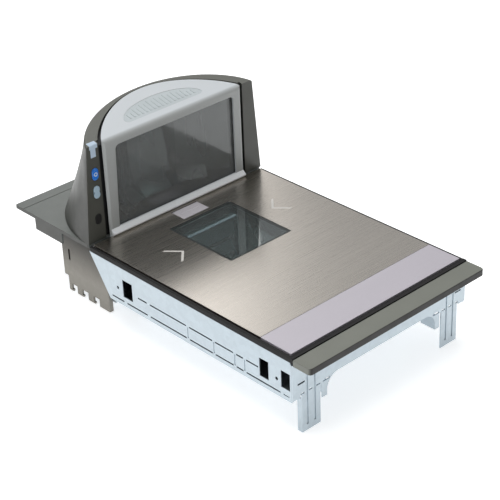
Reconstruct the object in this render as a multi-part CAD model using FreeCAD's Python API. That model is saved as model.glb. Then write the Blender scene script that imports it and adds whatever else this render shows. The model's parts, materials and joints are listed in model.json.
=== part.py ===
import FreeCAD, Part
import math
import os

# Checkout scanner-scale: an in-counter tub with a lift-off weighing platter and a vertical
# scanning tower. Millimetres. X runs left to right as the cashier sees it, Y runs from the
# cashier's edge back to the tower, Z is up. The feet stand on Z = 0 and the middle of the
# footprint is the origin.

V = FreeCAD.Vector

# --- driving dimensions -------------------------------------------------------------------
HALF_W = 146.0            # chassis half width: the 292 mm counter cut-out class
FRONT_Y = -269.5          # front of the rail
REAR_Y = 269.5            # rear of the deck
PLATTER_Z = 108.0         # top of the weighing surface above the feet
SHEET = 1.5               # sheet-metal gauge of chassis and platter

PLATTER_HALF = 141.0      # half width of the platter
PLATTER_FRONT = -235.5
STRIP_END = -187.5        # the front strip ends and the steel sheet starts here
SHEET_END = 111.2

WIN_HALF = 51.0           # horizontal window, half width
WIN_Y = (-41.5, 73.5)

SIDE_TOP = 100.0          # top of the chassis side walls
SIDE_BOTTOM = 46.5
SIDE_FRONT = -239.8
GASKET_FRONT = -242.5
RAIL_Z = (97.0, 105.5)    # underside and top of the front rail
SIDE_REAR_LOW = 79.5      # the rear edge of each side wall leans back
SIDE_REAR_TOP = 115.0

SLOPE = 13.2              # rise of the tower's top face, degrees
CREASE_Y = 111.5          # front face of the bezel
CREASE_Z = 238.0          # height of the bezel's front edge
BEZEL_A = 114.0           # half width of the bezel
BEZEL_B = 63.0            # depth of the bezel's domed top
BEZEL_N = 1.2             # fullness of its flanks: 2 is an ellipse, lower is leaner
BEZEL_T = 2.5

TOWER_FRONT = 114.5       # front of the bonnet's strips
BONNET_A = (146.0, 0.0792)    # half width at the deck, and loss per mm of height
BONNET_B = (146.0, 0.5514)    # depth at the deck, and loss per mm of height
BONNET_N = (2.0, 0.00435)     # flank fullness at the deck, and loss per mm of height
BONNET_T = 3.0
STRIP_IN = 118.0          # inner edge of the bonnet's front strips

TWIN_LEFT = (-98.5, -94.5)    # vertical window: left edge at its bottom and top
TWIN_RIGHT = 99.5
TWIN_Z = (116.8, 227.5)

BUTTON_X = -126.4
BLUE_Z = 199.0
PALE_Z = 174.5
SPEAKER_Z = 137.5
BUTTON_PROUD = 1.3
BUTTON_TRAVEL = 1.0

SPIDER_TOP = 95.0
SPIDER_BOTTOM = 83.0
PAD_SPOTS = [(-112.0, -170.0), (112.0, -170.0), (-112.0, 60.0), (112.0, 60.0)]

POLYGON_SPOT = (0.0, 18.0)
TAN = math.tan(math.radians(SLOPE))


# --- helpers ------------------------------------------------------------------------------
def box(x0, x1, y0, y1, z0, z1):
    return Part.makeBox(x1 - x0, y1 - y0, z1 - z0, V(x0, y0, z0))


def rod(x, y, z, axis, radius, length):
    return Part.makeCylinder(radius, length, V(x, y, z), V(*axis))


def prism(points, direction):
    loop = [V(*p) for p in points]
    return Part.Face(Part.makePolygon(loop + [loop[0]])).extrude(V(*direction))


def prism_yz(points, x0, x1):
    return prism([(x0, y, z) for y, z in points], (x1 - x0, 0, 0))


def prism_xz(points, y0, y1):
    return prism([(x, y0, z) for x, z in points], (0, y1 - y0, 0))


def prism_xy(points, z0, z1):
    return prism([(x, y, z0) for x, y in points], (0, 0, z1 - z0))


def mirrored(shape):
    return shape.mirror(V(0, 0, 0), V(1, 0, 0))


def both_sides(shape):
    return [shape, mirrored(shape)]


def joined(shapes):
    first = shapes[0].fuse(shapes[1:])
    return first.removeSplitter()


def edges_along(shape, axis, keep=None):
    found = []
    for edge in shape.Edges:
        if edge.Curve.TypeId != "Part::GeomLine":
            continue
        run = edge.valueAt(edge.LastParameter) - edge.valueAt(edge.FirstParameter)
        run.normalize()
        if abs(run.dot(V(*axis))) > 0.999 and (keep is None or keep(edge.CenterOfMass)):
            found.append(edge)
    return found


def soft_box(x0, x1, y0, y1, z0, z1, axis, radius):
    shape = box(x0, x1, y0, y1, z0, z1)
    return shape.makeFillet(radius, edges_along(shape, axis))


def oval_y(cx, cz, width, height, y0, y1):
    r = width / 2.0
    half = height / 2.0 - r
    middle = box(cx - r, cx + r, y0, y1, cz - half, cz + half)
    caps = [rod(cx, y0, cz + side * half, (0, 1, 0), r, y1 - y0) for side in (-1, 1)]
    return joined([middle] + caps)


def round_back(a, b, n, y0, z):
    """Flat outline with a straight front of half width a and a domed back of depth b."""
    points = []
    for i in range(25):
        t = math.pi * i / 24
        points.append(V(a * math.cos(t), y0 + b * abs(math.sin(t)) ** (2 / n), z))
    curve = Part.BSplineCurve()
    curve.interpolate(points)
    return Part.Wire([curve.toShape(), Part.makeLine(points[-1], points[0])])


def round_back_prism(a, b, n, y0, z0, z1):
    return Part.Face(round_back(a, b, n, y0, z0)).extrude(V(0, 0, z1 - z0))


def shrink(pair, z):
    """A value that starts at pair[0] at the deck and loses pair[1] per mm of height."""
    return pair[0] - pair[1] * (z - PLATTER_Z)


def tower_loft(inset, y0, z0, z1):
    """Tapering body of the tower, moved in by inset behind the plane y0."""
    wires = []
    for z in (z0, z1):
        depth = shrink(BONNET_B, z) - inset - (y0 - TOWER_FRONT)
        wires.append(round_back(shrink(BONNET_A, z) - inset, depth, shrink(BONNET_N, z), y0, z))
    return Part.makeLoft(wires, True, True)


def slope_z(y, offset=0.0):
    return CREASE_Z + (y - CREASE_Y) * TAN + offset


def above_slope(offset):
    points = [(0, slope_z(0, offset)), (400, slope_z(400, offset)), (400, 600), (0, 600)]
    return prism_yz(points, -300, 300)


def slope_slab(low, high):
    points = [(90, slope_z(90, low)), (300, slope_z(300, low)),
              (300, slope_z(300, high)), (90, slope_z(90, high))]
    return prism_yz(points, -300, 300)


def on_slope(shape):
    """Moves a shape drawn on the XY plane onto the tower's top face."""
    shape = shape.copy()
    shape.rotate(V(0, 0, 0), V(1, 0, 0), SLOPE)
    shape.translate(V(0, CREASE_Y, CREASE_Z))
    return shape


def tilted_plate(cx, cy, cz, width, height, thick, yaw, pitch):
    """Flat plate that starts upright facing -Y, leans back by pitch, then turns by yaw."""
    plate = box(-width / 2, width / 2, 0, thick, -height / 2, height / 2)
    plate.rotate(V(0, 0, 0), V(1, 0, 0), -pitch)
    plate.rotate(V(0, 0, 0), V(0, 0, 1), yaw)
    plate.translate(V(cx, cy, cz))
    return plate


def screw(x, y, z, axis, head_r, head_t, shank_r, shank_l):
    """Pan-head screw. (x, y, z) is under the head; the axis points from shank to head."""
    n = V(*axis)
    seat = V(x, y, z)
    head = Part.makeCylinder(head_r, head_t, seat, n)
    shank = Part.makeCylinder(shank_r, shank_l + 0.2, seat - n * shank_l, n)
    slot = Part.makeBox(head_r * 2.4, head_r * 0.35, head_t * 0.45)
    slot.translate(V(-head_r * 1.2, -head_r * 0.175, 0))
    slot.Placement = FreeCAD.Placement(seat + n * (head_t * 0.62),
                                       FreeCAD.Rotation(V(0, 0, 1), n)).multiply(slot.Placement)
    return head.fuse(shank).removeSplitter().cut(slot)


NODES = {}

# --- chassis side walls --------------------------------------------------------------------
SIDE_WINDOWS = [(34.5, 52.5, 60.0, 84.0), (-203.5, -189.0, 60.0, 84.0),
                (-237.6, -223.5, 61.5, 83.5)]
SIDE_HOLES_Y = (62.5, -216.5)
SIDE_HOLE_Z = 69.0
SIDE_HOLE_R = 2.1
UPPER_SLITS = [(-187.0, -167.0), (-162.0, -150.5), (-145.5, -115.0), (-110.0, -70.0),
               (-64.0, 1.5), (7.5, 24.0)]
LOWER_SLITS = [(-236.0, -227.0), (-222.0, -167.0), (-162.0, -150.5), (-145.5, -115.0),
               (-110.0, -70.0), (-64.0, 1.5), (7.5, 46.0), (52.0, 75.0)]
SLIT_POSTS = (-164.5, -148.0, -112.5, -67.0)


def left_side_wall():
    outline = [(SIDE_FRONT, SIDE_BOTTOM), (SIDE_REAR_LOW, SIDE_BOTTOM),
               (SIDE_REAR_TOP, SIDE_TOP), (SIDE_FRONT, SIDE_TOP)]
    wall = prism_yz(outline, -HALF_W, -HALF_W + SHEET)
    top_flange = box(-HALF_W, -138.5, SIDE_FRONT + 4, SIDE_REAR_TOP - 3, SIDE_TOP - SHEET, SIDE_TOP)
    wall = joined([wall, top_flange])
    cuts = [box(-150, -140, y0, y1, z0, z1) for y0, y1, z0, z1 in SIDE_WINDOWS]
    cuts += [rod(-150, y, SIDE_HOLE_Z, (1, 0, 0), SIDE_HOLE_R, 10) for y in SIDE_HOLES_Y]
    cuts += [box(-150, -140, y0, y1, 69.2, 71.0) for y0, y1 in UPPER_SLITS]
    cuts += [box(-150, -140, y0, y1, 52.2, 54.0) for y0, y1 in LOWER_SLITS]
    cuts += [box(-147, -145.2, y - 0.7, y + 0.7, 54.0, 69.2) for y in SLIT_POSTS]
    return wall.cut(cuts)


NODES["left_side_wall"] = left_side_wall()
NODES["right_side_wall"] = mirrored(NODES["left_side_wall"])

# --- chassis tub: shelf, front wall, leaning rear panel and the deep optics well -----------
IN_W = HALF_W - SHEET
WELL_X = 94.0
WELL_Y = (-168.0, 77.0)
WELL_Z = 8.0


def leaning(offset, z):
    slope = (SIDE_REAR_TOP - SIDE_REAR_LOW) / (SIDE_TOP - SIDE_BOTTOM)
    return SIDE_REAR_LOW + (z - SIDE_BOTTOM) * slope + offset


STEP_Y = -216.0           # the shelf starts here; in front of it the tub steps up
STEP_Z = 58.0


def chassis_tub():
    shelf = box(-IN_W, IN_W, STEP_Y - SHEET, 78, SIDE_BOTTOM, SIDE_BOTTOM + SHEET)
    riser = box(-IN_W, IN_W, STEP_Y - SHEET, STEP_Y, SIDE_BOTTOM, STEP_Z + SHEET)
    ledge = box(-IN_W, IN_W, -240, STEP_Y, STEP_Z, STEP_Z + SHEET)
    front = box(-IN_W, IN_W, -240, -240 + SHEET, STEP_Z, 98)
    slots = both_sides(box(126.5, 138.5, -242, -237, 66.7, 69.3))
    panel = prism_yz([(leaning(-4, 46.5), 46.5), (leaning(-2, 46.5), 46.5),
                      (leaning(-2, 98), 98), (leaning(-4, 98), 98)], -IN_W, IN_W)
    panel = panel.cut(prism_yz([(60, 66), (140, 66), (140, 94), (60, 94)], -80, 80))
    well = box(-WELL_X, WELL_X, WELL_Y[0], WELL_Y[1], WELL_Z, SIDE_BOTTOM + SHEET)
    hollow = box(-WELL_X + SHEET, WELL_X - SHEET, WELL_Y[0] + SHEET, WELL_Y[1] - SHEET,
                 WELL_Z + SHEET, SIDE_BOTTOM)
    mouth = box(-WELL_X + SHEET, WELL_X - SHEET, -76, WELL_Y[1] - SHEET, 40, 50)
    return joined([shelf, riser, ledge, front, panel, well]).cut([hollow, mouth] + slots)


NODES["chassis_tub"] = chassis_tub()

# --- front bracket: apron, rail shelf, two legs with lugs ----------------------------------
LEG_IN = 103.0
LEG_OUT = 132.0
APRON_Y = (-241.5, -240.0)
APRON_BOTTOM = 57.0
LEG_SLOTS = [(127, 138, 68.0), (103.5, 109.5, 53.5), (115.6, 121.0, 53.5), (128, 133, 53.5)]


def arc_points(cx, cz, r, start, end, steps=10):
    out = []
    for i in range(steps + 1):
        t = math.radians(start + (end - start) * i / steps)
        out.append((cx + r * math.cos(t), cz + r * math.sin(t)))
    return out


def front_bracket():
    corner = arc_points(74.0, APRON_BOTTOM - 18.0, 18.0, 90, 0)
    right = [(0, RAIL_Z[0]), (0, APRON_BOTTOM)] + corner
    right += [(92, 32), (100, 32), (100, 52), (LEG_IN, 52), (LEG_IN, 0), (LEG_OUT, 0), (LEG_OUT, 52),
              (134.5, 52), (134.5, 49), (HALF_W, 49), (HALF_W, RAIL_Z[0])]
    half = prism_xz(right, APRON_Y[0], APRON_Y[1])
    shelf = box(0, 140, -262, APRON_Y[1], RAIL_Z[0] - SHEET, RAIL_Z[0])
    leg_edge = box(LEG_OUT - SHEET, LEG_OUT, APRON_Y[0], -234, 0, 46)
    lug_return = box(92, 92 + SHEET, APRON_Y[0], -219, 32, 57.5)
    half = joined([half, shelf, leg_edge, lug_return])
    cuts = [box(x - 1.3, x + 1.3, -242, -240.6, 8, 90) for x in (111.8, 123.6)]
    cuts += [box(x0, x1, -242, -239, z - 1.1, z + 1.1) for x0, x1, z in LEG_SLOTS]
    cuts.append(box(88.0, 98.5, -242, -232, 52.6, 55.4))
    half = half.cut(cuts)
    return joined([half, mirrored(half)])


NODES["front_bracket"] = front_bracket()

# --- rear hook brackets ---------------------------------------------------------------------
HOOK_X = (121.5, 124.5)
NOTCHES = [(134.7, 146.5), (158.0, 170.5), (181.0, 192.0)]    # hooks open towards the rear


def right_rear_bracket():
    outline = [(113.5, 103.0), (113.5, 0.0)]
    for start, end in NOTCHES:
        outline += [(start, 0.0), (start, 10.6), (end, 10.6),
                    (end, 3.0), (end - 2.5, 3.0), (end - 2.5, 0.0)]
    outline += [(198.0, 0.0), (198.0, 21.0), (205.5, 21.0), (205.5, 105.0),
                (119.0, 105.0), (119.0, 103.0)]
    plate = prism_yz(outline, HOOK_X[0], HOOK_X[1])
    front_lip = box(HOOK_X[0] - 3.2, HOOK_X[1], 113.5, 115.3, 0, 40)
    top_lip = box(HOOK_X[0], 138, 122, 200, 103, 105)
    slot = box(110, 130, 189.5, 192.8, 47, 63)
    return joined([plate, front_lip, top_lip]).cut(slot)


NODES["right_rear_bracket"] = right_rear_bracket()
NODES["left_rear_bracket"] = mirrored(NODES["right_rear_bracket"])

# --- rear housing under the deck, with the interface panel at its back ----------------------
HOUSE_X = 118.0
PANEL_X = 64.0
PANEL_Z = (22.0, 64.0)
SOCKETS = [(-40.0, 18.0, 12.0), (-6.0, 14.0, 12.0), (26.0, 14.0, 10.0)]
SOCKET_Z = 42.0
SOCKET_DEPTH = 14.0


def rear_housing():
    outline = [(108, 14), (200, 14), (200, 103), (120.2, 103), (95, 66), (108, 52)]
    inner = [(109.5, 15.5), (198.5, 15.5), (198.5, 105), (121.4, 105), (96.8, 66), (109.5, 52.6)]
    shell = prism_yz(outline, -HOUSE_X, HOUSE_X)
    shell = shell.cut(prism_yz(inner, -HOUSE_X + SHEET, HOUSE_X - SHEET))
    opening = prism_yz([(90, 70), (116, 70), (116, 92), (90, 92)], -80, 80)
    panel_hole = box(-60, 60, 195, 205, 26, 60)
    vents = [box(x, x + 3, 195, 205, 74, 90) for x in range(-55, 56, 10)]
    return shell.cut([opening, panel_hole] + vents)


NODES["rear_housing"] = rear_housing()



def socket_block(cx, width, height, y0, y1):
    return box(cx - width / 2, cx + width / 2, y0, y1, SOCKET_Z - height / 2, SOCKET_Z + height / 2)


panel = box(-PANEL_X, PANEL_X, 200, 201.5, PANEL_Z[0], PANEL_Z[1])
sockets = []
for cx, w, h in SOCKETS:
    panel = panel.cut(socket_block(cx, w + 4, h + 4, 199, 203))
    shell = socket_block(cx, w + 4, h + 4, 202 - SOCKET_DEPTH, 202)
    sockets.append(shell.cut(socket_block(cx, w, h, 204 - SOCKET_DEPTH, 203)))
NODES["interface_panel"] = panel
NODES["interface_sockets"] = Part.makeCompound(sockets)

# --- electronics: main board in the front of the well, power board in the rear housing ------
main_board = box(-88, 88, -160, -84, 14, 15.6)
chips = [box(-70, -50, -150, -130, 15.6, 17.6), box(-30, -14, -140, -124, 15.6, 17.4),
         box(10, 40, -150, -120, 15.6, 19.6), box(55, 80, -110, -98, 15.6, 24.6),
         box(-80, -60, -105, -95, 15.6, 24.6)]
posts = [rod(x, y, WELL_Z + SHEET, (0, 0, 1), 3, 4.5) for x in (-84, 84) for y in (-156, -88)]
NODES["main_board"] = joined([main_board] + chips + posts)

power_board = box(-100, 100, 150, 186, 20, 21.6)
parts = [rod(x, 168, 21.6, (0, 0, 1), 6, 16) for x in (-80, -62, 62)]
parts += [box(-40, -12, 156, 180, 21.6, 34), box(78, 94, 156, 180, 21.6, 30)]
legs = [rod(x, y, 15.5, (0, 0, 1), 3, 4.5) for x in (-96, 96) for y in (153.5, 182.5)]
NODES["power_board"] = joined([power_board] + parts + legs)

# --- rear deck and platter gasket -----------------------------------------------------------
DECK_FRONT = 116.0


def rear_deck():
    top = soft_box(-HALF_W, HALF_W, DECK_FRONT, REAR_Y, 103, PLATTER_Z, (0, 0, 1), 2.0)
    under = box(-HALF_W + 2.5, HALF_W - 2.5, DECK_FRONT + 2.5, REAR_Y - 2.5, 90, 105)
    light_well = round_back_prism(108, 92, 2.0, 123, 90, 120)
    tabs = [box(side * 144.2 - 1.3, side * 144.2 + 1.3, 172.5, 228.5, 87, 105) for side in (-1, 1)]
    deck = top.cut([under, light_well])
    deck = joined([deck] + tabs)
    grooves = [box(-200, 200, 251.4, 252.6, 107.4, 109)]
    return deck.cut(grooves)


NODES["rear_deck"] = rear_deck()


def platter_gasket():
    side = box(-HALF_W, -142.0, GASKET_FRONT, 113.0, SIDE_TOP, 106.0)
    front = box(-HALF_W, HALF_W, GASKET_FRONT, -236.6, SIDE_TOP, 106.4)
    seat = box(-HALF_W, HALF_W, -240, -238.5, 98, SIDE_TOP)
    return joined([front, seat] + both_sides(side))


NODES["platter_gasket"] = platter_gasket()


def front_rail():
    low, high = RAIL_Z
    body = box(-HALF_W, HALF_W, FRONT_Y, GASKET_FRONT - 0.4, low, high)
    corners = edges_along(body, (0, 0, 1), lambda c: c.y < -260)
    body = body.makeFillet(4.5, corners)
    rim = [e for e in body.Edges if e.CenterOfMass.z > high - 0.1]
    body = body.makeFillet(1.0, rim)
    pocket = box(-136, 136, FRONT_Y + 3, GASKET_FRONT - 3, low - 1, high - 3)
    ribs = [box(x - 1.2, x + 1.2, FRONT_Y + 3, GASKET_FRONT - 3, low, high - 3)
            for x in (-90, -45, 0, 45, 90)]
    bosses = [rod(x, -254, low, (0, 0, 1), 4, high - 3 - low) for x in (-110, 110)]
    return joined([body.cut(pocket)] + ribs + bosses)


NODES["front_rail"] = front_rail()

# --- load cell, its mount and the overload stops --------------------------------------------
CELL_BOLTS = [(x, y) for x in (-7, 7) for y in (-206, -192)]
load_cell_mount = joined([box(-34, 34, -216, -176, 48, 52), box(-16, 16, -214, -184, 52, 57.4)])
bolt_holes = [rod(x, y, 52.5, (0, 0, 1), 2.5, 34) for x, y in CELL_BOLTS]
bolt_sinks = [rod(x, y, 80.0, (0, 0, 1), 4.2, 5) for x, y in CELL_BOLTS]
NODES["load_cell_mount"] = load_cell_mount.cut(bolt_holes)


def load_cell():
    bar = soft_box(-15, 15, -214, -84, 57.4, 82.4, (1, 0, 0), 1.0)
    eyes = [rod(-20, y, 69.9, (1, 0, 0), 8.0, 40) for y in (-158, -140)]
    slot = box(-20, 20, -158, -140, 66.0, 73.8)
    return bar.cut(eyes + [slot] + bolt_holes + bolt_sinks)


NODES["load_cell"] = load_cell()
NODES["load_cell_bolts"] = Part.makeCompound(
    [rod(x, y, 52.5, (0, 0, 1), 2.5, 28).fuse(rod(x, y, 80.0, (0, 0, 1), 4.2, 2.2))
     for x, y in CELL_BOLTS])
STOPS = [(-105, -196), (105, -196), (-105, -100), (105, -100)]
NODES["overload_stops"] = Part.makeCompound(
    [rod(x, y, 48, (0, 0, 1), 5, 8).fuse(rod(x, y, 56, (0, 0, 1), 3, 26.2)) for x, y in STOPS])

# --- optics cover with the turret that carries the lower window -----------------------------
TURRET_X = 69.0
TURRET_Y = (-59.0, 91.0)


def optics_cover():
    lid = box(-118, 118, -78, 91, 76, 78)
    skirt = box(-97, 97, -76, 76, 48, 76).cut(box(-94.5, 94.5, -73.5, 73.5, 47, 76.5))
    turret = box(-TURRET_X, TURRET_X, TURRET_Y[0], TURRET_Y[1], 78, 92)
    cavity = box(-TURRET_X + 3, TURRET_X - 3, TURRET_Y[0] + 3, TURRET_Y[1] - 3, 70, 95)
    pass_through = box(-60, 60, 70, 80, 52, 72)
    return joined([lid, skirt, turret]).cut([cavity, pass_through])


NODES["optics_cover"] = optics_cover()
NODES["deck_window_seal"] = box(-69, 69, -59, 91, 92, 92.8).cut(box(-64, 64, -54, 86, 91, 94))
NODES["deck_window"] = soft_box(-68, 68, -58, 90, 92.8, 95.3, (0, 0, 1), 3)

# --- scan engine in the well -----------------------------------------------------------------
px, py = POLYGON_SPOT
motor = joined([rod(px, py, WELL_Z + SHEET, (0, 0, 1), 17, 5), rod(px, py, 14.5, (0, 0, 1), 12, 9)])
motor = joined([motor, rod(px, py, 23.5, (0, 0, 1), 2.5, 19)])
NODES["spinner_motor"] = motor


def mirror_polygon():
    corners = []
    for i in range(4):
        t = math.radians(45 + 90 * i)
        corners.append((px + 26 * math.cos(t), py + 26 * math.sin(t)))
    block = prism_xy(corners, 27, 40)
    hub = rod(px, py, 25, (0, 0, 1), 8, 17)
    return joined([block, hub]).cut(rod(px, py, 20, (0, 0, 1), 2.55, 30))


NODES["mirror_polygon"] = mirror_polygon()
NODES["laser_modules"] = Part.makeCompound(
    [joined([rod(side * 60, py, 33, (-side, 0, 0), 6, 22),
             box(side * 66 - 6, side * 66 + 6, py - 9, py + 9, 9.5, 40)]) for side in (-1, 1)])
NODES["collection_mirror"] = tilted_plate(0, 55, 30, 70, 34, 3, 0, -25)
# each mirror: centre x, y, z, width, height, yaw, pitch
WELL_MIRRORS = [(-64, -30, 40, 50, 44, 55, -42), (64, -30, 40, 50, 44, -55, -42),
                (0, -58, 38, 74, 40, 180, 40),
                (-72, 54, 40, 34, 36, 125, 38), (72, 54, 40, 34, 36, -125, 38),
                (36, 32, 70, 56, 30, -120, 56)]
NODES["well_mirrors"] = Part.makeCompound(
    [tilted_plate(x, y, z, w, h, 2.5, yaw, pitch) for x, y, z, w, h, yaw, pitch in WELL_MIRRORS])

# --- bonnet -----------------------------------------------------------------------------------
BONNET_DROP = -1.0


def lamp_blank():
    wide = box(-131.4, -119.4, TOWER_FRONT - 0.4, 120.5, 232.5, 250)
    narrow = box(-130.2, -122.6, TOWER_FRONT - 0.4, 119.0, 221.5, 233.0)
    return joined([wide, narrow])


def bonnet():
    outer = tower_loft(0, TOWER_FRONT, PLATTER_Z, 262)
    outer = outer.cut(above_slope(BONNET_DROP))
    rim = [e for e in outer.Edges if e.CenterOfMass.z > 225 and e.CenterOfMass.y > 120]
    rim = [e for e in rim if e.BoundBox.ZMin > 225]
    outer = outer.makeFillet(3.0, rim)
    inner = tower_loft(BONNET_T, TOWER_FRONT + BONNET_T, PLATTER_Z - 5, 262)
    inner = inner.cut(above_slope(BONNET_DROP - 3.0))
    mouth = box(-STRIP_IN, STRIP_IN, 100, TOWER_FRONT + BONNET_T + 2, 100, 300)
    cap_hole = round_back_prism(BEZEL_A + 5.5, BEZEL_B + 2.0, BEZEL_N, CREASE_Y, 225, 300)
    shell = outer.cut([inner, mouth, cap_hole])
    cuts = [lamp_blank(),
            oval_y(BUTTON_X, BLUE_Z, 10.0, 17.0, 110, 119),
            oval_y(BUTTON_X, PALE_Z, 10.0, 17.8, 110, 119),
            oval_y(BUTTON_X - 1.2, SPEAKER_Z, 9.8, 15.0, 110, 119)]
    return shell.cut(cuts)


NODES["bonnet"] = bonnet()
lamp = lamp_blank().cut(above_slope(BONNET_DROP + 0.3))
lamp_edge = [e for e in edges_along(lamp, (1, 0, 0)) if e.CenterOfMass.z > 237 and e.CenterOfMass.y < 115]
NODES["status_lamp"] = lamp.makeFillet(1.5, lamp_edge)

grille = oval_y(BUTTON_X - 1.2, SPEAKER_Z, 9.6, 14.8, TOWER_FRONT + 0.3, TOWER_FRONT + 2.2)
grille_spots = [(col * 1.9, row * 1.9) for row in range(-3, 4) for col in range(-2, 3)
                if abs(row) + abs(col) < 5]
grille_holes = [rod(BUTTON_X - 1.2 + dx, 112, SPEAKER_Z + dz, (0, 1, 0), 0.6, 8)
                for dx, dz in grille_spots]
NODES["speaker_grille"] = grille.cut(grille_holes)
NODES["speaker"] = joined([oval_y(BUTTON_X - 1.2, SPEAKER_Z, 12.4, 18, 117.7, 121),
                           rod(BUTTON_X - 1.2, 121, SPEAKER_Z, (0, 1, 0), 5, 5)])


# --- push buttons, their rubber domes and the control board -----------------------------------
def button(cz, height, width=9.0):
    face_y = TOWER_FRONT - BUTTON_PROUD
    face = oval_y(BUTTON_X, cz, width, height, face_y, 118.0)
    front_rim = [e for e in face.Edges if e.CenterOfMass.y < face_y + 0.01]
    face = face.makeFillet(0.8, front_rim)
    flange = oval_y(BUTTON_X, cz, 12.0, height + 3.0, 118.0, 119.0)
    stem = rod(BUTTON_X, 119.0, cz, (0, 1, 0), 2.5, 1.5)
    return joined([face, flange, stem])


def ring_icon(cz):
    disc = rod(BUTTON_X, 113.0, cz, (0, 1, 0), 2.6, 0.6)
    return disc.cut(rod(BUTTON_X, 112, cz, (0, 1, 0), 1.6, 3))


NODES["volume_button"] = button(BLUE_Z, 16.0).cut(ring_icon(BLUE_Z))
NODES["volume_icon"] = ring_icon(BLUE_Z)
waist = [rod(BUTTON_X + side * 6.6, 112, PALE_Z, (0, 1, 0), 3.2, 4.5) for side in (-1, 1)]
NODES["zero_button"] = button(PALE_Z, 16.8).cut(waist)
NODES["button_domes"] = Part.makeCompound(
    [Part.makeCone(3.6, 2.4, 2.2, V(BUTTON_X, 124, z), V(0, -1, 0)) for z in (BLUE_Z, PALE_Z)])
NODES["control_board"] = joined([box(-131, -119.4, 124, 125.6, 160, 214),
                                 box(-130, -122, 125.6, 129, 203, 212)])


# --- black tower frame, window and mirrors -----------------------------------------------------
FRAME_A = 117.5
FRAME_FRONT = 119.0


def frame_loft(inset, y0, z0, z1):
    wires = []
    for z in (z0, z1):
        depth = shrink(BONNET_B, z) - 6.0 - inset - (y0 - TOWER_FRONT)
        wires.append(round_back(FRAME_A - inset, depth, shrink(BONNET_N, z), y0, z))
    return Part.makeLoft(wires, True, True)


def tower_frame():
    outer = frame_loft(0, FRAME_FRONT, PLATTER_Z, 262).cut(above_slope(-8.0))
    inner = frame_loft(2, FRAME_FRONT + 2, PLATTER_Z - 5, 262).cut(above_slope(-10.0))
    opening = soft_box(-101, 101, 110, 122, 114, 229, (0, 1, 0), 3)
    return outer.cut([inner, opening])


NODES["tower_frame"] = tower_frame()
NODES["tower_window_seal"] = box(-105, 105, 118, 119, 111, 231).cut(box(-101, 101, 117, 120, 114, 229))
NODES["tower_window"] = soft_box(-105, 105, 115.6, 118, 110.5, 231.0, (0, 1, 0), 5)

TOWER_MIRRORS = [(-70, 145, 174, 70, 104, 36, 3), (70, 145, 174, 70, 104, -36, 3),
                 (0, 171, 160, 60, 62, 0, 12), (-58, 143, 127, 46, 24, 24, 52),
                 (-8, 152, 127, 44, 24, 2, 48), (50, 146, 126, 40, 22, -24, 50)]
NODES["tower_mirrors"] = Part.makeCompound(
    [tilted_plate(x, y, z, w, h, 2.5, yaw, pitch) for x, y, z, w, h, yaw, pitch in TOWER_MIRRORS])


def mirror_carrier():
    inner = frame_loft(3.6, FRAME_FRONT + 2.5, 110, 200)
    floor = inner.common(box(-130, 130, 100, 260, 110, 112.5))
    sill = box(-100, 100, FRAME_FRONT + 2.6, FRAME_FRONT + 3.8, PLATTER_Z, 110.5)
    posts = [box(side * 30 - 1.5, side * 30 + 1.5, 176, 190, 111, 196) for side in (-1, 1)]
    return joined([floor, sill] + [p.common(inner) for p in posts])


NODES["tower_mirror_carrier"] = mirror_carrier().cut(NODES["tower_mirrors"])

# --- scale spider and pads -----------------------------------------------------------------------
def scale_spider():
    rails = [box(side * 88 - 6, side * 88 + 6, -190, 96, SPIDER_BOTTOM, SPIDER_TOP - 2)
             for side in (-1, 1)]
    beam = box(-94, 94, -182, -158, SPIDER_BOTTOM, SPIDER_TOP - 2)
    plate = box(-94, 94, -124, -82, SPIDER_BOTTOM, SPIDER_TOP - 4)
    arms = [box(min(x, x * 0.75), max(x, x * 0.75), y - 8, y + 8, SPIDER_BOTTOM, SPIDER_TOP - 2)
            for x, y in PAD_SPOTS]
    ends = [rod(x, y, SPIDER_BOTTOM, (0, 0, 1), 11, SPIDER_TOP - SPIDER_BOTTOM) for x, y in PAD_SPOTS]
    body = joined(rails + [beam, plate] + arms + ends)
    lighten = [box(x0, x1, -116, -90, 80, 100) for x0, x1 in ((-72, -32), (32, 72))]
    return body.cut(lighten)


NODES["scale_spider"] = scale_spider()
NODES["spider_pads"] = Part.makeCompound(
    [rod(x, y, SPIDER_TOP, (0, 0, 1), 8, 3) for x, y in PAD_SPOTS])

# --- platter ----------------------------------------------------------------------------------------
TAB_HALF = 21.0
TAB_Y = (79.5, 104.5)
TAB_PIN = (101.6, 105.3)
TAB_PIN_R = 1.0


def folded_sheet(y0, y1):
    """Flat sheet with its two side edges folded down."""
    top = box(-PLATTER_HALF, PLATTER_HALF, y0, y1, PLATTER_Z - SHEET, PLATTER_Z)
    fold = box(-PLATTER_HALF, -PLATTER_HALF + SHEET, y0, y1, 102.5, PLATTER_Z)
    return joined([top] + both_sides(fold))


def platter_sheet():
    sheet = folded_sheet(STRIP_END + 0.4, SHEET_END)
    window = soft_box(-WIN_HALF, WIN_HALF, WIN_Y[0], WIN_Y[1], 100, 110, (0, 0, 1), 2)
    tab = box(-TAB_HALF - 0.6, TAB_HALF + 0.6, TAB_Y[0] - 0.6, TAB_Y[1] + 0.6, 100, 110)
    return sheet.cut([window, tab])


def arrow(tip_x, tail_x):
    """Thin chevron inlaid in the sheet; it points from tail_x to tip_x."""
    middle, reach, width = 18.5, 17.5, 4.0
    points = [(tip_x, middle), (tail_x, middle + reach), (tail_x + width, middle + reach),
              (tip_x + width, middle), (tail_x + width, middle - reach), (tail_x, middle - reach)]
    return prism_xy(points, PLATTER_Z - 0.3, PLATTER_Z + 0.05)


right_arrow = arrow(74.0, 90.0)
NODES["scan_arrows"] = Part.makeCompound(both_sides(right_arrow))
NODES["platter_sheet"] = platter_sheet().cut(both_sides(right_arrow))

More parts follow.
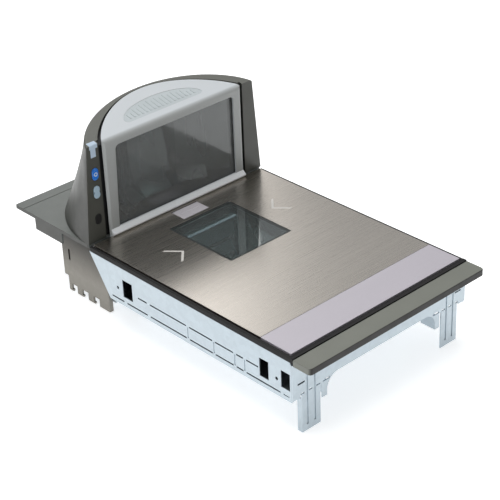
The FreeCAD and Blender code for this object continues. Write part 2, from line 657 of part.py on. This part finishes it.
front_fold = box(-PLATTER_HALF, PLATTER_HALF, PLATTER_FRONT, PLATTER_FRONT + SHEET, 102.5, PLATTER_Z)
NODES["front_strip"] = joined([folded_sheet(PLATTER_FRONT, STRIP_END), front_fold])


def platter_frame():
    plate = box(-136, 136, -233, 110.5, 103, 106.5)
    outer_ribs = [box(s * 134 - 2, s * 134 + 2, -232, 110.5, 98.6, 103) for s in (-1, 1)]
    cross = [box(-134, 134, y - 1.5, y + 1.5, 98.6, 103) for y in (-230, -120, 108)]
    pads = [rod(x, y, 98, (0, 0, 1), 10, 5) for x, y in PAD_SPOTS]
    body = joined([plate] + outer_ribs + cross + pads)
    light = box(-47, 47, WIN_Y[0] + 4, WIN_Y[1] - 4, 90, 110)
    rebate = box(-WIN_HALF - 0.3, WIN_HALF + 0.3, WIN_Y[0] - 0.3, WIN_Y[1] + 0.3, 104.6, 110)
    tab = box(-TAB_HALF - 0.6, TAB_HALF + 0.6, TAB_Y[0] - 0.6, TAB_Y[1] + 0.6, 102.2, 110)
    pin = rod(-30, TAB_PIN[0], TAB_PIN[1], (1, 0, 0), TAB_PIN_R, 60)
    floor = box(-24, 24, 76, 108, 100.6, 103)
    return joined([body, floor]).cut([light, rebate, tab, pin])


NODES["platter_frame"] = platter_frame()
NODES["platter_window"] = soft_box(-WIN_HALF + 0.1, WIN_HALF - 0.1, WIN_Y[0] + 0.1, WIN_Y[1] - 0.1,
                                   104.6, PLATTER_Z - 0.3, (0, 0, 1), 2)
NODES["tab_pin"] = rod(-28, TAB_PIN[0], TAB_PIN[1], (1, 0, 0), TAB_PIN_R, 56)
pin_bore = rod(-30, TAB_PIN[0], TAB_PIN[1], (1, 0, 0), TAB_PIN_R, 60)
NODES["platter_sheet"] = NODES["platter_sheet"].cut(pin_bore)


def lift_tab():
    plate = box(-TAB_HALF, TAB_HALF, TAB_Y[0], TAB_PIN[0], 105.3, PLATTER_Z - 0.1)
    lip = box(-TAB_HALF, TAB_HALF, TAB_Y[0], TAB_Y[0] + 2.5, 103.2, 106)
    barrel = rod(-TAB_HALF, TAB_PIN[0], TAB_PIN[1], (1, 0, 0), 2.6, 2 * TAB_HALF)
    tab = joined([plate, lip, barrel])
    line = box(-TAB_HALF - 1, TAB_HALF + 1, 91.6, 92.4, PLATTER_Z - 0.6, PLATTER_Z + 1)
    bore = rod(-30, TAB_PIN[0], TAB_PIN[1], (1, 0, 0), TAB_PIN_R + 0.05, 60)
    return tab.cut([line, bore])


NODES["lift_tab"] = lift_tab()


# --- vertical bezel, part of the lift-off platter -----------------------------------------------------
def tower_bezel():
    top_y = CREASE_Y + BEZEL_B + 2
    back_y = CREASE_Y + BEZEL_T
    outer = [(CREASE_Y, 98.5), (CREASE_Y, CREASE_Z), (top_y, slope_z(top_y)),
             (top_y, slope_z(top_y, -BEZEL_T)), (back_y, slope_z(back_y, -BEZEL_T)), (back_y, 98.5)]
    shell = prism_yz(outer, -BEZEL_A, BEZEL_A)
    crease = [e for e in edges_along(shell, (1, 0, 0)) if abs(e.CenterOfMass.z - CREASE_Z) < 0.1
              and abs(e.CenterOfMass.y - CREASE_Y) < 0.1]
    shell = shell.makeFillet(7.0, crease)
    dome = round_back_prism(BEZEL_A, BEZEL_B, BEZEL_N, CREASE_Y, 90, 280)
    shell = shell.common(dome)
    ring = dome.cut(round_back_prism(BEZEL_A - BEZEL_T, BEZEL_B - BEZEL_T, BEZEL_N,
                                     CREASE_Y - 0.01, 80, 290))
    rim = ring.common(slope_slab(-6.0, -1.0)).common(box(-200, 200, CREASE_Y + 4, 260, 200, 300))
    cheeks = ring.common(box(-200, 200, CREASE_Y + 1, 115.4, 110, CREASE_Z - 3))
    shell = joined([shell, rim, cheeks])
    window = prism_xz([(TWIN_LEFT[0], TWIN_Z[0]), (TWIN_RIGHT, TWIN_Z[0]), (TWIN_RIGHT, TWIN_Z[1]),
                       (TWIN_LEFT[1], TWIN_Z[1])], 100, 114.2)
    corners = [e for e in window.Edges if e.Length < 15 and e.CenterOfMass.z > TWIN_Z[1] - 1]
    window = window.makeFillet(6.0, corners)
    bevel = prism_xy([(109.5, CREASE_Y - 1), (120, CREASE_Y - 1), (120, CREASE_Y + 2.4),
                      (BEZEL_A, CREASE_Y + 2.4), (109.5, CREASE_Y)], 108.5, CREASE_Z + 1)
    return shell.cut([window] + both_sides(bevel))


def badge_outline(grow, low, high):
    blank = round_back_prism(63.0 + grow, 29.0 + grow, 2.2, 15.0 - grow, low, high)
    corners = [e for e in edges_along(blank, (0, 0, 1)) if e.CenterOfMass.y < 16]
    return on_slope(blank.makeFillet(5.0, corners))


NODES["tower_bezel"] = tower_bezel().cut(badge_outline(0.4, -0.9, 3.0))
NODES["bezel_badge"] = badge_outline(0.0, -0.9, -0.3)
NODES["bezel_foot"] = prism_yz([(109.4, PLATTER_Z), (CREASE_Y, PLATTER_Z), (CREASE_Y, 117.2),
                                (106.0, 112.2), (106.0, 110.8)], -112, 112)
BEZEL_SCREWS_X = (-95, -48, 48, 95)
NODES["bezel_screws"] = Part.makeCompound(
    [screw(x, CREASE_Y + BEZEL_T, 104.5, (0, 1, 0), 2.0, 0.9, 1.2, 9) for x in BEZEL_SCREWS_X])
bezel_holes = [rod(x, 104, 104.5, (0, 1, 0), 1.2, 12) for x in BEZEL_SCREWS_X]
NODES["tower_bezel"] = NODES["tower_bezel"].cut(bezel_holes)
NODES["platter_frame"] = NODES["platter_frame"].cut(bezel_holes)

# --- fasteners ---------------------------------------------------------------------------------------
WALL_SCREWS = [(-150, 86), (-40, 86), (60, 90), (-120, 60.5), (20, 60.5)]
NODES["chassis_screws"] = Part.makeCompound(
    [screw(side * (HALF_W - SHEET - 3.0), y, z, (-side, 0, 0), 2.6, 1.4, 1.4, 1.6)
     for side in (-1, 1) for y, z in WALL_SCREWS])
NODES["rail_screws"] = Part.makeCompound(
    [screw(x, -254, RAIL_Z[0] - SHEET, (0, 0, -1), 3.2, 1.8, 1.6, 5) for x in (-110, 110)])
rail_holes = [rod(x, -254, 90, (0, 0, 1), 1.6, 10.5) for x in (-110, 110)]
NODES["front_bracket"] = NODES["front_bracket"].cut(rail_holes)
NODES["front_rail"] = NODES["front_rail"].cut(rail_holes)

os.makedirs("parts", exist_ok=True)
for name, shape in NODES.items():
    shape.exportStep("parts/%s.step" % name)
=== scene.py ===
import json
import math

import bmesh
import bpy
from mathutils import Matrix, Vector

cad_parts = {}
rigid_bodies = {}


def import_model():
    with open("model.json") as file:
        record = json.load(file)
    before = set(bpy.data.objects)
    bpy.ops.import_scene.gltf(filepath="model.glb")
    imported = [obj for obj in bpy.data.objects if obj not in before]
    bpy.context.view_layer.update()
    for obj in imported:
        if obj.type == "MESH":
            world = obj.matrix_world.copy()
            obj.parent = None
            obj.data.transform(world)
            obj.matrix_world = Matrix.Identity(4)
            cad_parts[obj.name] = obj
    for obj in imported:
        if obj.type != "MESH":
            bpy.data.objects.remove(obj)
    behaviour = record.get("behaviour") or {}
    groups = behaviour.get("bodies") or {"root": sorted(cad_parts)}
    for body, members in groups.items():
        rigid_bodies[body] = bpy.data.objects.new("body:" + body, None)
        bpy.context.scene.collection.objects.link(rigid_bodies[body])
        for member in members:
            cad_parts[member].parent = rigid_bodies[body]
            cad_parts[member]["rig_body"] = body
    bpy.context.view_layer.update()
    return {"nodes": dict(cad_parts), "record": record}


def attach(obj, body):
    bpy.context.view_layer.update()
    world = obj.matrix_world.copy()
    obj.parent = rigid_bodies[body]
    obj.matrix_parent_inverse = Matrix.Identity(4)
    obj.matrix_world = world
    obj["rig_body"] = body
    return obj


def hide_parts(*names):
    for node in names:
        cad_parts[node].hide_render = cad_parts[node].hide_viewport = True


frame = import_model()

# Checkout scanner-scale: dressed CAD nodes, a plain pale floor and soft studio light. Metres, with
# X across the counter, Y towards the tower and Z up. Lengths in millimetres are multiplied by MM.
NODES = frame["nodes"]
MM = 0.001


# --- material helpers ------------------------------------------------------------------
COAT_ROUGH = 0.1


def lin(r, g, b):
    """sRGB 0-255 to linear RGBA."""
    out = []
    for c in (r, g, b):
        c /= 255.0
        out.append(c / 12.92 if c <= 0.04045 else ((c + 0.055) / 1.055) ** 2.4)
    return out + [1.0]


class Mat:
    """A Principled material, with short calls for the texture nodes that feed it."""

    def __init__(self, name, rough=0.5, metal=0.0, ior=1.5, coat=0.0, transmission=0.0):
        self.m = bpy.data.materials.new(name)
        self.m.use_nodes = True
        self.t = self.m.node_tree
        self.p = self.t.nodes["Principled BSDF"]
        self.set("Roughness", rough)
        self.set("Metallic", metal)
        self.set("IOR", ior)
        self.set("Coat Weight", coat)
        self.set("Coat Roughness", COAT_ROUGH)
        self.set("Transmission Weight", transmission)
        self.coord = self.t.nodes.new("ShaderNodeTexCoord")
        self.bumped = None

    def set(self, socket, value):
        self.p.inputs[socket].default_value = value

    def link(self, a, b):
        self.t.links.new(a, b)

    def mapped(self, scale=(1, 1, 1), rot=(0, 0, 0)):
        """Object coordinates, scaled and turned."""
        n = self.t.nodes.new("ShaderNodeMapping")
        n.inputs["Scale"].default_value = scale
        n.inputs["Rotation"].default_value = rot
        self.link(self.coord.outputs["Object"], n.inputs["Vector"])
        return n.outputs["Vector"]

    def noise(self, scale, detail=3.0, rough=0.5, vec=None, distortion=0.0):
        n = self.t.nodes.new("ShaderNodeTexNoise")
        n.inputs["Scale"].default_value = scale
        n.inputs["Detail"].default_value = detail
        n.inputs["Roughness"].default_value = rough
        n.inputs["Distortion"].default_value = distortion
        self.link(vec or self.mapped(), n.inputs["Vector"])
        return n.outputs["Fac"]

    def cells(self, scale, vec=None, randomness=1.0):
        n = self.t.nodes.new("ShaderNodeTexVoronoi")
        n.inputs["Scale"].default_value = scale
        n.inputs["Randomness"].default_value = randomness
        self.link(vec or self.mapped(), n.inputs["Vector"])
        return n

    def ramp(self, fac, stops):
        """Colour ramp; a stop is a place and either a grey level or a colour."""
        n = self.t.nodes.new("ShaderNodeValToRGB")
        while len(n.color_ramp.elements) < len(stops):
            n.color_ramp.elements.new(0.5)
        for e, (pos, col) in zip(n.color_ramp.elements, stops):
            e.position = pos
            e.color = col if not isinstance(col, (int, float)) else (col, col, col, 1)
        self.link(fac, n.inputs["Fac"])
        return n.outputs["Color"]

    def span(self, fac, lo, hi, from_lo=0.0, from_hi=1.0):
        """Maps from_lo..from_hi onto lo..hi."""
        n = self.t.nodes.new("ShaderNodeMapRange")
        n.inputs["From Min"].default_value = from_lo
        n.inputs["From Max"].default_value = from_hi
        n.inputs["To Min"].default_value = lo
        n.inputs["To Max"].default_value = hi
        self.link(fac, n.inputs["Value"])
        return n.outputs["Result"]

    def mix(self, fac, a, b, mode="MIX"):
        n = self.t.nodes.new("ShaderNodeMix")
        n.data_type = "RGBA"
        n.blend_type = mode
        if isinstance(fac, float):
            n.inputs[0].default_value = fac
        else:
            self.link(fac, n.inputs[0])
        for value, index in ((a, 6), (b, 7)):
            if isinstance(value, (list, tuple)):
                n.inputs[index].default_value = value
            else:
                self.link(value, n.inputs[index])
        return n.outputs[2]

    def base(self, value):
        if isinstance(value, (list, tuple)):
            self.set("Base Color", value)
        else:
            self.link(value, self.p.inputs["Base Color"])

    def rough(self, value):
        self.link(value, self.p.inputs["Roughness"])

    def bump(self, height, strength, distance):
        """Adds relief on top of any bump that the material already has."""
        n = self.t.nodes.new("ShaderNodeBump")
        n.inputs["Strength"].default_value = strength
        n.inputs["Distance"].default_value = distance
        self.link(height, n.inputs["Height"])
        if self.bumped is not None:
            self.link(self.bumped, n.inputs["Normal"])
        self.bumped = n.outputs["Normal"]
        self.link(self.bumped, self.p.inputs["Normal"])


def scaled(color, k):
    """The colour, k times as bright."""
    return [min(1.0, c * k) for c in color[:3]] + [1.0]


def tones(m, color, spread, scale):
    """Base colour that drifts a little lighter and darker."""
    fac = m.noise(scale, 4.0)
    return m.ramp(fac, [(0.3, scaled(color, 1 - spread)), (0.7, scaled(color, 1 + spread))])


def facing(m, axis, start, end):
    """0 to 1 as the surface turns to face the given axis of the object, such as "-Y"."""
    normal = m.t.nodes.new("ShaderNodeSeparateXYZ")
    m.link(m.coord.outputs["Normal"], normal.inputs["Vector"])
    sign = -1.0 if axis.startswith("-") else 1.0
    return m.span(normal.outputs[axis[-1]], 0.0, 1.0, sign * start, sign * end)


TONE_SCALE = 18.0         # drifts of colour per metre in a moulded part
GRAIN = 1400.0            # grains per metre of spark-eroded texture


def plastic(name, color, rough=0.5, depth=0.25, spread=0.04, coat=0.0, front=None, side=None):
    """Moulded plastic; front and side are painted shade: darker colours for its -Y and -X faces that
    stand in for the shade those faces get.
    """
    m = Mat(name, rough=rough, coat=coat)
    shade = tones(m, color, spread, TONE_SCALE)
    # painted shade: faces turned to -X and -Y are mixed towards the darker side and front colours
    if side is not None:
        shade = m.mix(facing(m, "-X", 0.35, 0.95), shade, tones(m, side, spread, TONE_SCALE))
    if front is not None:
        shade = m.mix(facing(m, "-Y", 0.25, 0.9), shade, tones(m, front, spread, TONE_SCALE))
    m.base(shade)
    m.rough(m.span(m.noise(45.0, 3.0), rough - 0.05, rough + 0.06, 0.3, 0.7))
    m.bump(m.noise(GRAIN, 3.0, 0.6), depth, 0.00010)
    m.bump(m.noise(60.0, 2.0), 0.05, 0.0003)
    return m.m


# painted shadow: a plate given a top level darkens between these heights, standing in for the shade
# under the deck overhang
FADE_Z = (0.030, 0.088)   # heights between which a plate fades to top_shadow
SPANGLES = 160.0          # zinc crystals per metre


def sheet_metal(name, color, rough, metal, cloud=0.10, top_shadow=None):
    """Plated sheet: faint crystal cells, cloudy patches and fine rolling lines, with an optional
    painted shadow that darkens it towards the top.
    """
    m = Mat(name, rough=rough, metal=metal)
    spangle = m.cells(SPANGLES, m.mapped((1, 1, 1), (0.3, 0.2, 0.1)))
    drift = m.noise(9.0, 5.0, 0.6)
    a = m.ramp(spangle.outputs["Color"], [(0.0, scaled(color, 0.95)), (1.0, scaled(color, 1.04))])
    b = m.ramp(drift, [(0.35, 1.0 - cloud), (0.7, 1.0)])
    shade = m.mix(0.75, a, b, "MULTIPLY")
    # painted shadow: darker towards the top of the plate, for the shade under the deck overhang
    if top_shadow is not None:
        height = m.t.nodes.new("ShaderNodeSeparateXYZ")
        m.link(m.coord.outputs["Object"], height.inputs["Vector"])
        shadow_fade = m.span(height.outputs["Z"], 1.0, top_shadow, *FADE_Z)
        shade = m.mix(1.0, shade, shadow_fade, "MULTIPLY")
    m.base(shade)
    m.rough(m.span(drift, rough - 0.08, rough + 0.10, 0.3, 0.7))
    m.bump(m.noise(1.0, 3.0, vec=m.mapped((40, 40, 1600))), 0.05, 0.00005)
    return m.m


def brushed(name, color, rough, along, pitch=1500.0, run=14.0, depth=0.08, metal=1.0,
            contrast=0.05):
    """Brushed metal: pitch hair lines per metre, which break run times per metre along an axis."""
    m = Mat(name, rough=rough, metal=metal)
    scale = {"X": (run, pitch, pitch), "Y": (pitch, run, pitch), "Z": (pitch, pitch, run)}[along]
    lines = m.noise(1.0, 3.0, 0.6, vec=m.mapped(scale))
    cloud = m.noise(5.0, 3.0)
    a = m.ramp(lines, [(0.30, scaled(color, 1 - contrast)), (0.70, scaled(color, 1 + contrast))])
    b = m.ramp(cloud, [(0.3, 0.96), (0.7, 1.0)])
    m.base(m.mix(0.7, a, b, "MULTIPLY"))
    m.rough(m.span(lines, rough - 0.04, rough + 0.06, 0.3, 0.7))
    m.bump(lines, depth, 0.00003)
    return m.m


def rubber(name, color, rough=0.75):
    """Matt rubber with a fine skin."""
    m = Mat(name, rough=rough)
    m.base(tones(m, color, 0.15, 40.0))
    m.bump(m.noise(900.0, 2.0), 0.2, 0.0002)
    return m.m


def mirror_glass(name, color, rough=0.04, streak=0.35):
    """Silvered mirror with soft upright streaks of haze."""
    m = Mat(name, rough=rough, metal=1.0)
    haze = m.noise(1.0, 3.0, vec=m.mapped((30, 30, 2.5)))
    m.base(m.ramp(haze, [(0.3, scaled(color, 1 - streak)), (0.7, color)]))
    m.rough(m.span(haze, rough, rough + 0.12, 0.35, 0.75))
    return m.m


def window_glass(name, tint, rough, ior, clear):
    """Scan window with faint smears; clear is the share of light that passes the haze."""
    m = Mat(name, rough=rough, ior=ior, transmission=clear)
    smear = m.noise(14.0, 4.0, 0.6, distortion=0.6)
    m.base(m.ramp(smear, [(0.3, scaled(tint, 0.97)), (0.7, tint)]))
    m.rough(m.span(smear, rough, rough + 0.02, 0.45, 0.8))
    return m.m


def circuit(name):
    """Green board with rows of tinned pads."""
    m = Mat(name, rough=0.35, coat=0.3)
    pads = m.cells(420.0, m.mapped(), 0.0)
    m.base(m.ramp(pads.outputs["Distance"], [(0.10, lin(190, 180, 120)), (0.16, lin(18, 92, 52))]))
    m.bump(pads.outputs["Distance"], 0.2, 0.0002)
    return m.m


MATS = {
    "zinc_sheet": sheet_metal("zinc", lin(194, 205, 212), 0.40, 0.88, 0.16),
    # painted shadow: the hook plate darkens towards its top, the shade under the deck overhang
    "hook_plate": sheet_metal("hook_zinc", lin(150, 146, 138), 0.45, 0.6, 0.2, top_shadow=0.05),
    # painted shade: the bonnet, deck, rail and bezel take darker front (-Y) and side (-X) colours for
    # the shade on those faces
    "bonnet_plastic": plastic("bonnet", lin(104, 105, 99), 0.42, front=lin(74, 75, 69),
                              side=lin(56, 57, 53)),
    "deck_plastic": plastic("deck", lin(113, 117, 114), 0.42, side=lin(66, 67, 63)),
    "rail_plastic": plastic("rail", lin(127, 129, 121), 0.5, front=lin(24, 22, 21)),
    "black_plastic": plastic("black_plastic", lin(34, 34, 35), 0.45, depth=0.15),
    "gasket_rubber": rubber("gasket", lin(22, 21, 22)),
    "bezel_plastic": plastic("bezel", lin(211, 216, 220), 0.36, depth=0.10, spread=0.015,
                             front=lin(176, 179, 178)),
    "foot_plastic": plastic("foot", lin(246, 249, 251), 0.3, depth=0.05, spread=0.02, coat=0.2),
    "badge_plastic": plastic("badge", lin(196, 204, 207), 0.4, depth=0.1),
    "platter_steel": brushed("platter_steel", lin(204, 198, 190), 0.28, "X", pitch=2600.0, run=9.0,
                             depth=0.05, contrast=0.035),
    "strip_satin": brushed("strip_satin", lin(206, 201, 209), 0.45, "X", depth=0.04, metal=0.35,
                           contrast=0.02),
    "frame_casting": sheet_metal("frame_cast", lin(180, 182, 184), 0.5, 0.9),
    "spider_casting": sheet_metal("spider_cast", lin(170, 172, 175), 0.5, 0.9),
    "load_cell_alloy": brushed("load_cell", lin(200, 202, 206), 0.3, "Y"),
    "steel_fastener": brushed("fastener", lin(200, 200, 198), 0.3, "Z"),
    "steel_pin": brushed("pin", lin(190, 190, 190), 0.25, "X"),
    "window_glass": window_glass("window_glass", lin(226, 236, 236), 0.02, 1.6, 0.95),
    "tower_glass": window_glass("tower_glass", lin(206, 210, 210), 0.07, 1.5, 0.80),
    "optic_mirror": mirror_glass("mirror", lin(206, 212, 212)),
    "lens_plastic": plastic("lens", lin(196, 214, 232), 0.2, depth=0.04, coat=0.4),
    "button_blue": plastic("blue", lin(40, 124, 226), 0.28, depth=0.05, coat=0.4),
    "button_pale": plastic("pale", lin(176, 200, 216), 0.3, depth=0.05, coat=0.3),
    "icon_white": plastic("icon", lin(214, 232, 246), 0.35, depth=0.03),
    "arrow_inlay": plastic("arrow", lin(222, 219, 214), 0.35, depth=0.03),
    "board_green": circuit("board"),
    "dome_rubber": rubber("dome", lin(165, 168, 168), 0.6),
    "tab_satin": brushed("tab_satin", lin(226, 222, 228), 0.42, "X", depth=0.04, metal=0.3,
                         contrast=0.02),
}
SLOT_OF = {s["node"]: s["material_slot"] for s in frame["record"]["subparts"]}
TOWER_MIRROR = mirror_glass("tower_mirror", lin(150, 152, 152), 0.22, 0.45)
for name, node in NODES.items():
    node.data.materials.clear()
    node.data.materials.append(TOWER_MIRROR if name == "tower_mirrors" else MATS[SLOT_OF[name]])
    for poly in node.data.polygons:
        poly.use_smooth = False


# --- soft-edged copies of the CAD pieces ---------------------------------------------------
BEVEL_SEGMENTS = 2
BEVEL_ANGLE = 25.0        # edges that turn by more degrees than this are rounded


def softened(name, width):
    """A copy of a CAD node with edges rounded by width millimetres; it stands for the node."""
    src = NODES[name]
    mesh = src.data.copy()
    bm = bmesh.new()
    bm.from_mesh(mesh)
    bmesh.ops.remove_doubles(bm, verts=bm.verts, dist=1e-6)
    bmesh.ops.dissolve_limit(bm, angle_limit=math.radians(0.3), verts=bm.verts, edges=bm.edges)
    for f in bm.faces:
        f.smooth = True
    bm.to_mesh(mesh)
    bm.free()
    obj = bpy.data.objects.new("soft_" + name, mesh)
    bpy.context.scene.collection.objects.link(obj)
    bev = obj.modifiers.new("bevel", "BEVEL")
    bev.width = width * MM
    bev.segments = BEVEL_SEGMENTS
    bev.limit_method = "ANGLE"
    bev.angle_limit = math.radians(BEVEL_ANGLE)
    bev.use_clamp_overlap = True
    weighted = obj.modifiers.new("weighted", "WEIGHTED_NORMAL")
    weighted.mode = "FACE_AREA"
    weighted.weight = 100
    weighted.keep_sharp = True
    bpy.context.view_layer.update()
    graph = bpy.context.evaluated_depsgraph_get()
    done = bpy.data.meshes.new_from_object(obj.evaluated_get(graph))
    obj.modifiers.clear()
    obj.data = done
    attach(obj, src["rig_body"])
    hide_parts(name)


SOFT = {    # node: width of its rounded edges, in millimetres
    "front_rail": 0.5, "rear_deck": 0.5, "left_side_wall": 0.2, "right_side_wall": 0.2,
    "front_bracket": 0.25, "left_rear_bracket": 0.5, "right_rear_bracket": 0.5,
    "platter_sheet": 0.25, "front_strip": 0.25, "bezel_foot": 0.5, "lift_tab": 0.35,
    "bonnet": 0.4, "tower_bezel": 0.5, "volume_button": 0.25, "zero_button": 0.25,
    "status_lamp": 0.3, "bezel_badge": 0.2, "tower_frame": 0.4, "platter_gasket": 0.5,
    "scale_spider": 0.6, "rear_housing": 0.3, "chassis_tub": 0.3, "optics_cover": 0.5,
}
for name, width in SOFT.items():
    softened(name, width)

# --- relief on the badge: plain upright ribs that follow its domed outline -------------------
SLOPE = math.radians(13.2)               # rise of the tower's top face
CREASE = Vector((0.0, 111.5, 238.0))     # middle of that face's front edge
BADGE_HALF = 63.0                        # outline of the badge's domed back: half width,
BADGE_START = 15.0                       # where it starts, how deep it is and how full
BADGE_DEPTH = 29.0
BADGE_FULL = 2.2
RIBS = 17
RIB_SPAN = 104.0
RIB_HALF = 1.5
RIB_LOW = 19.5
RIB_SINK = 0.35                          # how far a rib is sunk in the badge and stands out


def on_slope(x, s, h):
    """Millimetres across, up the tower's top face and above it, to metres in the frame."""
    y = s * math.cos(SLOPE) - h * math.sin(SLOPE)
    z = s * math.sin(SLOPE) + h * math.cos(SLOPE)
    return (Vector((x, y, z)) + CREASE) * MM


def badge_ribs():
    bm = bmesh.new()
    for i in range(RIBS):
        x = -RIB_SPAN / 2 + RIB_SPAN * i / (RIBS - 1)
        dome = (1 - (abs(x) / BADGE_HALF) ** BADGE_FULL) ** (1 / BADGE_FULL)
        short = 3.0 if i % 2 else 0.0
        high = max(BADGE_START + BADGE_DEPTH * dome - 4.5 - short, RIB_LOW + 4.0)
        corners = ((-RIB_HALF, RIB_LOW, 0.5), (RIB_HALF, RIB_LOW, 0.5),
                   (RIB_HALF, high, -0.5), (-RIB_HALF, high, -0.5))
        lower = [bm.verts.new(on_slope(x + dx, s, -RIB_SINK)) for dx, s, inset in corners]
        upper = [bm.verts.new(on_slope(x + dx * 0.7, s + inset, RIB_SINK)) for dx, s, inset in corners]
        bm.faces.new(upper)
        bm.faces.new(lower[::-1])
        for k in range(4):
            bm.faces.new((lower[k], lower[(k + 1) % 4], upper[(k + 1) % 4], upper[k]))
    bmesh.ops.recalc_face_normals(bm, faces=bm.faces)
    mesh = bpy.data.meshes.new("badge_ribs")
    bm.to_mesh(mesh)
    bm.free()
    obj = bpy.data.objects.new("badge_ribs", mesh)
    bpy.context.scene.collection.objects.link(obj)
    mesh.materials.append(MATS["badge_plastic"])
    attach(obj, "platter")


badge_ribs()

# --- stage, light and camera -----------------------------------------------------------------
FLOOR_HALF = 4.0
FLOOR_Z = -0.0005         # just under the feet
DOME_STOPS = ((0.0, 0.20), (0.35, 0.34), (0.6, 0.75), (1.0, 1.0))    # height and grey level
DOME_TINT = (0.97, 0.985, 1.0)
DOME_STRENGTH = 0.78


def floor_white():
    m = Mat("floor_white", rough=0.9)
    m.base(tones(m, lin(244, 245, 246), 0.01, 4.0))
    m.set("Emission Color", (1.0, 1.0, 1.0, 1.0))
    m.set("Emission Strength", 0.62)
    return m.m


def studio_floor():
    mesh = bpy.data.meshes.new("floor")
    bm = bmesh.new()
    for x, y in ((-1, -1), (1, -1), (1, 1), (-1, 1)):
        bm.verts.new((x * FLOOR_HALF, y * FLOOR_HALF, FLOOR_Z))
    bm.faces.new(bm.verts)
    bm.to_mesh(mesh)
    bm.free()
    floor = bpy.data.objects.new("floor", mesh)
    bpy.context.scene.collection.objects.link(floor)
    mesh.materials.append(floor_white())


studio_floor()


def area(name, loc, target, size, power, color):
    """Rectangular soft box that looks at its target."""
    lamp = bpy.data.lights.new(name, "AREA")
    lamp.shape = "RECTANGLE"
    lamp.size, lamp.size_y = size
    lamp.energy = power
    lamp.color = color
    obj = bpy.data.objects.new(name, lamp)
    obj.location = loc
    obj.rotation_euler = (Vector(target) - Vector(loc)).to_track_quat("-Z", "Y").to_euler()
    bpy.context.scene.collection.objects.link(obj)


def studio_world():
    """Soft dome: bright overhead, grey near the horizon, darker on the cashier's side."""
    world = bpy.data.worlds.new("studio")
    bpy.context.scene.world = world
    world.use_nodes = True
    tree = world.node_tree
    coord = tree.nodes.new("ShaderNodeTexCoord")
    split = tree.nodes.new("ShaderNodeSeparateXYZ")
    ramp = tree.nodes.new("ShaderNodeValToRGB")
    tree.links.new(coord.outputs["Generated"], split.inputs["Vector"])
    tree.links.new(split.outputs["Z"], ramp.inputs["Fac"])
    while len(ramp.color_ramp.elements) < len(DOME_STOPS):
        ramp.color_ramp.elements.new(0.5)
    for element, (pos, value) in zip(ramp.color_ramp.elements, DOME_STOPS):
        element.position = pos
        element.color = [value * c for c in DOME_TINT] + [1.0]
    facing_front = tree.nodes.new("ShaderNodeMapRange")
    facing_front.inputs["From Min"].default_value = -0.9
    facing_front.inputs["From Max"].default_value = 0.3
    facing_front.inputs["To Min"].default_value = 0.35
    tree.links.new(split.outputs["Y"], facing_front.inputs["Value"])
    shaded = tree.nodes.new("ShaderNodeVectorMath")
    shaded.operation = "SCALE"
    tree.links.new(ramp.outputs["Color"], shaded.inputs[0])
    tree.links.new(facing_front.outputs["Result"], shaded.inputs["Scale"])
    tree.links.new(shaded.outputs["Vector"], tree.nodes["Background"].inputs["Color"])
    tree.nodes["Background"].inputs["Strength"].default_value = DOME_STRENGTH


studio_world()
area("key", (-0.3, 0.1, 2.4), (0, 0, 0.1), (1.8, 1.8), 27, (1.0, 0.99, 0.97))
area("sheen", (1.12, 1.52, 1.12), (0, 0, 0.1), (0.45, 0.9), 1.7, (1.0, 0.98, 0.96))
area("back", (0.6, 2.0, 1.8), (0, 0.1, 0.15), (1.6, 1.0), 4, (1, 1, 1))

bpy.context.scene.view_settings.view_transform = "Standard"

SENSOR = 36.0
FOCAL_OVER_WIDTH = 1507.6 / 500.0        # focal length over the width of the frame
CAMERA_PLACE = Vector((-1.0801, -1.2180, 1.0252))
CAMERA_LOOK = Vector((0.5796, 0.6432, -0.5003))
CAMERA_UP = Vector((0.3651, 0.3439, 0.8651))


def studio_camera():
    data = bpy.data.cameras.new("camera")
    data.sensor_width = SENSOR
    data.lens = FOCAL_OVER_WIDTH * SENSOR
    data.clip_end = 50
    cam = bpy.data.objects.new("camera", data)
    look = CAMERA_LOOK.normalized()
    up = (CAMERA_UP - look * CAMERA_UP.dot(look)).normalized()
    right = look.cross(up)
    turn = Matrix((right, up, -look)).transposed().to_4x4()
    cam.matrix_world = Matrix.Translation(CAMERA_PLACE) @ turn
    bpy.context.scene.collection.objects.link(cam)
    bpy.context.scene.camera = cam


studio_camera()

bpy.context.view_layer.update()
